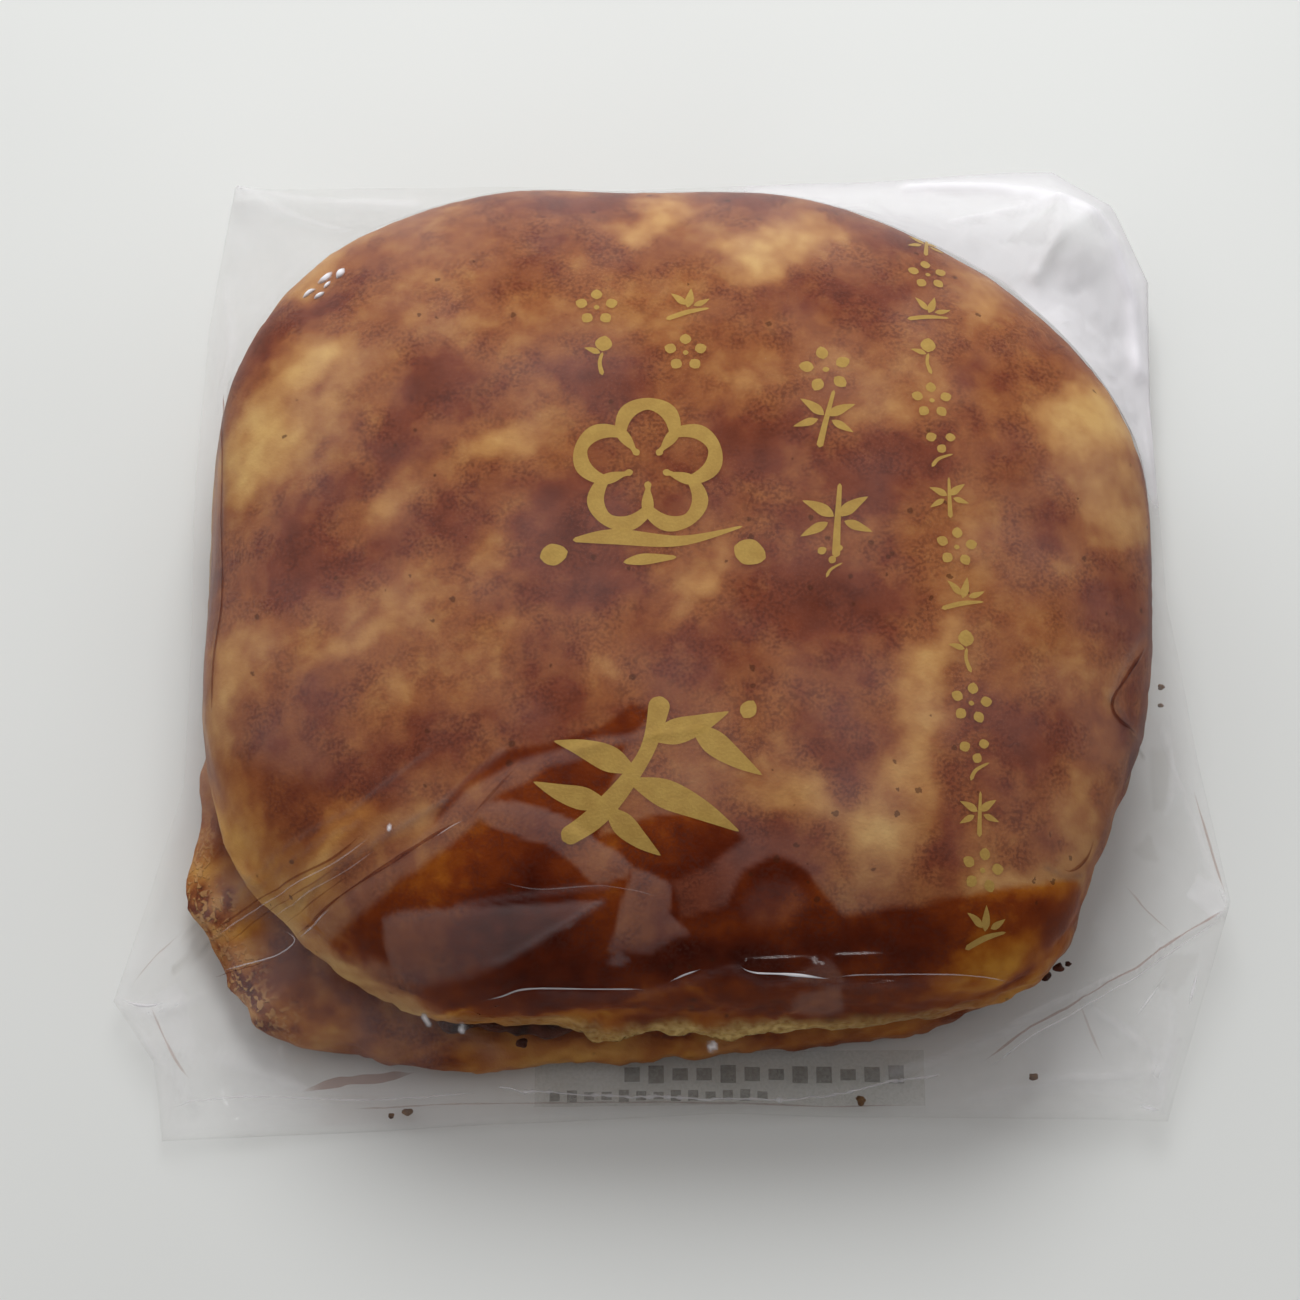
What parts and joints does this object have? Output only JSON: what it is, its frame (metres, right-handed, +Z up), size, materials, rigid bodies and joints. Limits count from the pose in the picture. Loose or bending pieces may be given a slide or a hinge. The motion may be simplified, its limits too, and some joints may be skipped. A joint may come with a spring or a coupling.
{
  "type": "dorayaki sealed in a clear film bag",
  "caption": "Round filled pancake sweet with a mottled brown top, sealed in a loose clear film bag with thin uneven corners; it lies flat.",
  "frame": {"origin": "on the table, under the middle of the bag's outline", "axes": "+Z up through the browned top, +Y towards the back edge of the bag, +X to the right as in the picture"},
  "size_m": [0.1052, 0.0988, 0.028],
  "materials": {
    "clear_film": "clear, glossy, creased",
    "browned_cake": "mottled brown griddled skin, satin under the film",
    "bean_paste": "dark red-brown sweet bean paste, moist",
    "gold_ink": "satin gold print"
  },
  "bodies": {
    "root": {"film_bag": "clear_film"}
  },
  "joints": []
}
